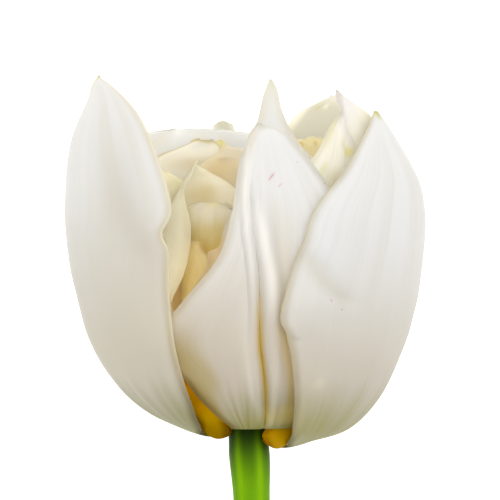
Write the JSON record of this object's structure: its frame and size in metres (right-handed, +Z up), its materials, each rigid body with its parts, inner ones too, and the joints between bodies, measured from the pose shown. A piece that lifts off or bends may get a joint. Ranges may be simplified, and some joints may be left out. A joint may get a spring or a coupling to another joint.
{
  "type": "cut double tulip",
  "caption": "White double tulip bloom with layered smooth pointed petals on a bare green cut stem, lying on its back.",
  "frame": {"origin": "middle of the small flat spot under the back petal that the bloom lies on", "axes": "+Y along the bloom's axis toward its tips with the stem toward -Y, +Z up from the surface, +X to the right of the bloom seen from above"},
  "size_m": [0.0668, 0.2514, 0.0631],
  "materials": {
    "petal_outer": "waxy satin petal, warm white, yellow-green at the tip and tan to olive at the base",
    "petal_inner": "satin petal, cream white, golden low inside",
    "petal_heart": "satin petal, cream to golden",
    "stem": "smooth green stem with faint ribs",
    "pistil": "pale green pistil with yellow stamens"
  },
  "bodies": {
    "root": {"petal_outer_left": "petal_outer", "petal_outer_right": "petal_outer", "petal_outer_back": "petal_outer", "petal_front": "petal_outer", "petal_back_left": "petal_inner", "petal_back_right": "petal_inner", "petal_inner_left": "petal_inner", "petal_inner_right": "petal_inner", "petal_inner_front": "petal_inner", "petal_inner_back_left": "petal_inner", "petal_inner_back_right": "petal_inner", "petal_inner_back": "petal_inner", "petal_heart_back": "petal_heart", "petal_heart_scroll": "petal_heart", "petal_heart_right": "petal_heart", "petal_heart_front": "petal_heart", "petal_heart_left": "petal_heart", "petal_heart_core": "petal_heart", "stem": "stem", "pistil_and_stamens": "pistil"}
  },
  "joints": []
}
